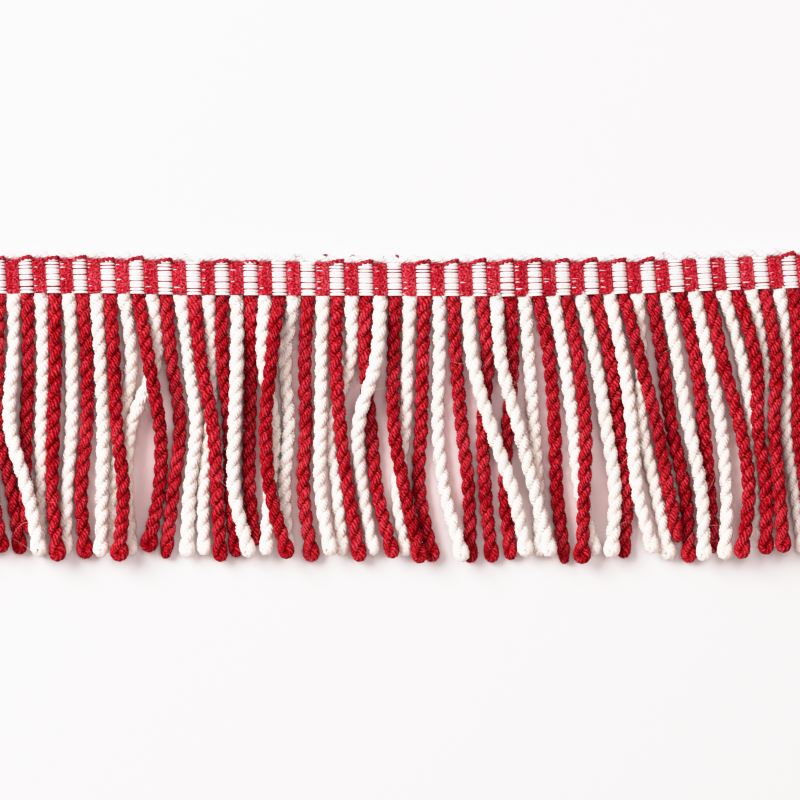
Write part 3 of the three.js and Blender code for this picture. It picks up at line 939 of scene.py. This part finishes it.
def yarn_material(name, colours, painted_ridge_shading, mottling, bump, skew=0, grain=1800, tones=0.15, scatter=0):
    """Spun yarn in a deep, a plain and a light colour.

    It has fibres along each single and a slow change of tone, with painted shade in the valleys
    between singles and in the grooves between plies, and painted highlights on the crests.
    """
    nodes = Nodes(name)
    uv = nodes.tree.nodes.new("ShaderNodeUVMap")
    uv.uv_map = "yarn"
    around, along = nodes.split(uv.outputs["UV"])
    place = nodes.place()
    tone = nodes.attribute("tone")
    # Painted shade in the grooves between plies: darker where the yarn faces the axis the plies turn
    # about
    painted_groove_shade = nodes.ramp(nodes.attribute("inward"), -0.25, 0.75)

    turns = nodes.math("ADD", around, nodes.math("MULTIPLY", along, skew)) if skew else around
    stray = nodes.math("MULTIPLY", nodes.noise(place, scale=700, detail=1), 0.5)
    angle = nodes.math("MULTIPLY", nodes.math("ADD", turns, stray), FULL_TURN)
    crest = nodes.ramp(nodes.math("COSINE", angle), -0.9, 0.9)
    along_fibres = nodes.combine(nodes.math("MULTIPLY", turns, 5.0), along)
    fibre_grain = nodes.noise(along_fibres, scale=1.8, detail=3)
    each_single = nodes.combine(nodes.math("ROUND", turns), nodes.math("MULTIPLY", along, 0.4))
    single = nodes.noise(each_single, scale=1.7, detail=0)
    mottle = nodes.noise(place, scale=grain, detail=2)
    patch = nodes.noise(place, scale=160, detail=1)

    # Brightness is a sum of shares, spread over the three colours about its middle value
    # The crest share is painted shade in the valleys between singles and painted highlight on the
    # crests; the groove share is painted shade in the grooves between plies
    fibre_share, single_share, patch_share, painted_groove_shade_share = 0.3, 0.25, 0.25, -0.35
    steady = fibre_share + single_share + patch_share
    middle = (painted_ridge_shading + mottling + tones + steady) / 2 - 0.1
    spread = 0.7
    bright = nodes.math("MULTIPLY", painted_groove_shade, painted_groove_shade_share)
    for value, share in [
        (crest, painted_ridge_shading), (fibre_grain, fibre_share), (single, single_share),
        (mottle, mottling), (patch, patch_share), (tone, tones),
    ]:
        bright = nodes.math("ADD", nodes.math("MULTIPLY", value, share), bright)
    deep, plain, light = colours
    darker = nodes.mix(nodes.ramp(bright, middle - spread, middle), deep, plain)
    colour = nodes.mix(nodes.ramp(bright, middle, middle + spread), darker, light)
    nodes.feed(nodes.shader.inputs["Base Color"], colour)
    nodes.shader.inputs["Roughness"].default_value = 0.85
    nodes.shader.inputs["Specular IOR Level"].default_value = 0.06
    nodes.shader.inputs["Subsurface Weight"].default_value = scatter
    nodes.shader.inputs["Subsurface Radius"].default_value = (1, 0.9, 0.8)
    nodes.shader.inputs["Subsurface Scale"].default_value = 1.0 * MM

    grains = nodes.math("MULTIPLY", fibre_grain, 0.7)
    relief = nodes.math("ADD", grains, nodes.math("MULTIPLY", mottle, 0.6))
    relief = nodes.math("ADD", relief, nodes.math("MULTIPLY", crest, 0.6))
    node = nodes.tree.nodes.new("ShaderNodeBump")
    node.inputs["Strength"].default_value = bump
    node.inputs["Distance"].default_value = 0.12 * MM
    nodes.feed(node.inputs["Height"], relief)
    nodes.feed(nodes.shader.inputs["Normal"], node.outputs["Normal"])
    return nodes.material


def paper_material():
    """White paper with a faint painted red reflection under the cords."""
    nodes = Nodes("floor")
    x, y = nodes.split(nodes.place())
    # Painted red reflection from the cords, over the ground under the fringe
    under = nodes.math("MULTIPLY", nodes.ramp(y, *PAINTED_BOUNCE_BELOW), nodes.ramp(y, *PAINTED_BOUNCE_ABOVE))
    under = nodes.math("MULTIPLY", under, nodes.ramp(nodes.math("ABSOLUTE", x), *PAINTED_BOUNCE_ASIDE))
    nodes.feed(nodes.shader.inputs["Base Color"], nodes.mix(under, PAPER, PAPER_PAINTED_BOUNCE))
    nodes.shader.inputs["Roughness"].default_value = 0.9
    nodes.shader.inputs["Specular IOR Level"].default_value = 0.1
    return nodes.material


def rgb(red, green, blue):
    """An sRGB colour, 0 to 255, as the shader's own linear colour."""
    shares = [value / 255 for value in (red, green, blue)]
    linear = [v / 12.92 if v <= 0.04045 else ((v + 0.055) / 1.055) ** 2.4 for v in shares]
    return (*linear, 1.0)


def area_light(name, place, size, power, colour=(1, 1, 1)):
    """A square light that faces the fringe."""
    data = bpy.data.lights.new(name, "AREA")
    data.shape = "SQUARE"
    data.size = size
    data.energy = power
    data.color = colour
    lamp = bpy.data.objects.new(name, data)
    bpy.context.scene.collection.objects.link(lamp)
    lamp.location = place
    lamp.rotation_euler = (Vector(LIT_POINT) - Vector(place)).to_track_quat("-Z", "Y").to_euler()


# Red yarn: its deep colour serves both darker fibres and the painted shade, its pinkish light colour
# both lighter fibres and the painted highlights on the crests
red_yarn = yarn_material(
    "red_yarn", (rgb(66, 0, 4), rgb(176, 10, 34), rgb(236, 104, 118)),
    painted_ridge_shading=0.45, mottling=0.55, bump=0.9, grain=2300,
)
# White yarn: its warm deep colour serves both darker fibres and the painted shade, tinted as painted
# red reflection from the red cords
white_yarn = yarn_material(
    "white_yarn", (rgb(236, 208, 192), rgb(247, 242, 235), rgb(250, 247, 243)),
    painted_ridge_shading=0.25, mottling=0.5, bump=0.45,
)
# Red warp: its tone carries the painted light toward the edges of the red blocks
red_warp = yarn_material(
    "red_warp", (rgb(138, 0, 20), rgb(203, 50, 72), rgb(247, 142, 152)),
    painted_ridge_shading=0.08, mottling=1.15, bump=1.0, skew=1.7, grain=2300, tones=0.35,
)
white_warp = yarn_material(
    "white_warp", (rgb(244, 238, 234), rgb(250, 248, 246), rgb(252, 251, 250)),
    painted_ridge_shading=0.1, mottling=0.4, bump=0.2, skew=1.7, scatter=0.35,
)

# The cords
red_cords = [Cord(row, index, "red") for index, row in enumerate(RED_CORDS)]
white_cords = [Cord(row, index, "white") for index, row in enumerate(WHITE_CORDS)]
settle(red_cords + white_cords)
red_strands = [cord_strand(cord) for cord in red_cords]
white_strands = [cord_strand(cord) for cord in white_cords]
half = (PAIRS + 1) // 2
add_piece("cords_red_left", red_strands[:half], red_yarn, "fringe_red")
add_piece("cords_red_right", red_strands[half:], red_yarn, "fringe_red")
add_piece("cords_white_left", white_strands[:half], white_yarn, "fringe_white")
add_piece("cords_white_right", white_strands[half:], white_yarn, "fringe_white")

# The heading, with the cords' legs inside it
red_legs = [leg(cord) for cord in red_cords]
white_legs = [leg(cord) for cord in white_cords]
add_piece("legs_red", red_legs, red_yarn, "heading")
add_piece("legs_white", white_legs, white_yarn, "heading")
white_threads = warp("white", WHITE_ROWS)
red_threads = warp("red", RED_ROWS)
add_piece("warp_white", white_threads, white_warp, "heading")
add_piece("warp_red", red_threads, red_warp, "heading")

# The weft turns along the top edge
white_turns = turn_yarn("white")
red_turns = turn_yarn("red")
add_piece("turns_white", white_turns, white_warp, "weft_turns_white")
add_piece("turns_red", red_turns, red_warp, "weft_turns_red")

# Loose fibres, and the longer hairs of the white yarn
white_fuzz = fibres(white_strands, per_strand=220, reach=1.0, radius=0.034, tone=1.0)
white_fuzz += fibres(white_turns, per_strand=260, reach=0.8, radius=0.022, tone=1.0)
white_fuzz += fibres(white_strands, per_strand=26, reach=2.6, radius=0.04, tone=1.0, curl=1.3, rings=7)
red_fuzz = fibres(red_strands, per_strand=80, reach=0.8, radius=0.026, tone=0.8)
red_fuzz += fibres(red_turns, per_strand=200, reach=0.5, radius=0.03, tone=0.8)
red_fuzz += tufts(TUFTS)
add_piece("fuzz_white", white_fuzz, white_yarn, "fringe_white")
add_piece("fuzz_red", red_fuzz, red_yarn, "fringe_red")

# The floor
bpy.ops.mesh.primitive_plane_add(size=FLOOR_SIZE, location=(0, 0, 0))
floor = bpy.context.object
floor.name = "floor"
floor.data.materials.append(paper_material())

# Light
area_light("key", place=(-0.8, 0.45, 0.9), size=0.8, power=15.4, colour=(0.985, 1, 1.01))
area_light("overhead", place=(0.15, 0.1, 1.3), size=0.7, power=4.4)
world = bpy.data.worlds.new("studio")
world.use_nodes = True
background = world.node_tree.nodes["Background"]
background.inputs["Color"].default_value = ROOM_LIGHT
background.inputs["Strength"].default_value = ROOM_STRENGTH
bpy.context.scene.world = world

# The view's contrast
view = bpy.context.scene.view_settings
view.view_transform = "Standard"
view.use_curve_mapping = True
contrast = view.curve_mapping
contrast.use_clip = True
contrast.clip_max_x = BRIGHTEST[0]
contrast.clip_max_y = BRIGHTEST[0]
curve = contrast.curves[3]  # the one for all three colours
curve.points[1].location = BRIGHTEST
for level in CONTRAST:
    curve.points.new(*level)
contrast.update()

# The camera looks straight down
camera_data = bpy.data.cameras.new("camera")
camera_data.sensor_width = SENSOR_WIDTH
camera_data.lens = SENSOR_WIDTH * CAMERA_HEIGHT / VIEW_WIDTH
camera_data.clip_start, camera_data.clip_end = CLIP_RANGE
camera = bpy.data.objects.new("camera", camera_data)
camera.location = (0, CAMERA_Y, CAMERA_HEIGHT)
bpy.context.scene.collection.objects.link(camera)
bpy.context.scene.camera = camera
